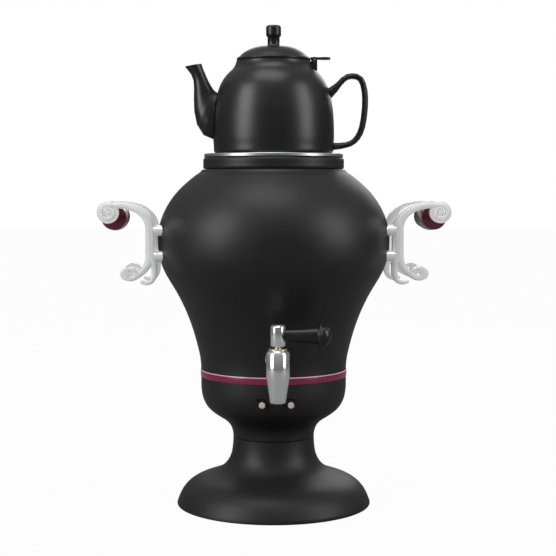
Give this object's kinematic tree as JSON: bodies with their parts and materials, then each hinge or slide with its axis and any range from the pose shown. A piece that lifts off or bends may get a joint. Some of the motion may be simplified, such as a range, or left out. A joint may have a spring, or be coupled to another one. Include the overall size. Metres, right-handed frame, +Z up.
{
  "type": "samovar",
  "caption": "Footed electric samovar with a front tap, two scroll handles with turned grips, a light band and a teapot on its steel lid.",
  "frame": {"origin": "centre of the base on the table", "axes": "+Z up through the body's axis, -Y towards the tap, +X towards the teapot's handle"},
  "size_m": [0.3448, 0.2324, 0.4786],
  "materials": {
    "black_body": "satin black heat-resistant coating",
    "black_shell": "satin black moulding",
    "black_pot": "satin black coating",
    "black_plastic": "fine-grained black phenolic",
    "crimson_light": "translucent crimson light guide",
    "burgundy": "glossy dark burgundy",
    "chrome": "polished chrome",
    "steel": "brushed stainless steel",
    "aluminium": "cast aluminium",
    "brass": "turned brass",
    "seal": "silicone rubber",
    "foot_rubber": "black rubber",
    "button": "pale translucent push button",
    "board": "circuit board",
    "led": "clear lamp resin"
  },
  "bodies": {
    "root": {"body_shell": "black_body", "neck_collar": "black_body", "foot_shell": "black_shell", "lower_bowl": "black_shell", "base_plate": "black_plastic", "mains_inlet": "black_plastic", "switch_bodies": "black_plastic", "terminal_block": "black_plastic", "boil_thermostat": "black_plastic", "keep_warm_thermostat": "black_plastic", "thermal_cutout": "black_plastic", "light_ring": "crimson_light", "right_grip": "burgundy", "left_grip": "burgundy", "right_front_arm": "chrome", "right_rear_arm": "chrome", "left_front_arm": "chrome", "left_rear_arm": "chrome", "tap_body": "chrome", "tap_gland_nut": "chrome", "tank_floor": "steel", "tie_rod": "steel", "tie_rod_nut": "steel", "clamp_plate": "steel", "base_screws": "steel", "handle_screws": "steel", "grip_bolts": "steel", "heating_element": "steel", "switch_nuts": "steel", "heater_plate": "aluminium", "tap_lock_nut": "brass", "inlet_pins": "brass", "tap_saddle": "seal", "tap_inner_seal": "seal", "tap_packing": "seal", "handle_seals": "seal", "rubber_foot_ring": "foot_rubber", "led_board": "board", "leds": "led"},
    "tap_handle": {"tap_plug": "brass", "tap_cap": "chrome", "tap_lever": "black_plastic", "lever_stud": "steel"},
    "tank_lid": {"tank_lid": "steel"},
    "teapot": {"pot_body": "black_pot", "pot_spout": "black_pot", "pot_handle": "black_plastic", "hinge_bracket": "black_pot", "hinge_pin": "steel"},
    "teapot_lid": {"pot_lid": "black_pot", "lid_knob": "black_plastic", "knob_screw": "steel", "thumb_tab": "black_pot"},
    "boil_button": {"boil_button": "button"},
    "keep_warm_button": {"keep_warm_button": "button"}
  },
  "joints": [
    {"name": "tap_turn", "type": "hinge", "parent": "root", "child": "tap_handle", "pos_m": [0, -0.10507, 0.157], "axis": [0, 0, 1], "range_deg": [-90, 0]},
    {"name": "tank_lid_lift", "type": "slide", "parent": "root", "child": "tank_lid", "axis": [0, 0, 1], "range_m": [0, 0.06]},
    {"name": "teapot_lift", "type": "slide", "parent": "tank_lid", "child": "teapot", "axis": [0, 0, 1], "range_m": [0, 0.1]},
    {"name": "teapot_lid_open", "type": "hinge", "parent": "teapot", "child": "teapot_lid", "pos_m": [0.0402, 0, 0.4447], "axis": [0, 1, 0], "range_deg": [0, 55]},
    {"name": "boil_press", "type": "slide", "parent": "root", "child": "boil_button", "axis": [0, 1, 0], "range_m": [0, 0.0018], "stiffness_N_per_m": 300},
    {"name": "keep_warm_press", "type": "slide", "parent": "root", "child": "keep_warm_button", "axis": [0, 1, 0], "range_m": [0, 0.0018], "stiffness_N_per_m": 300}
  ]
}
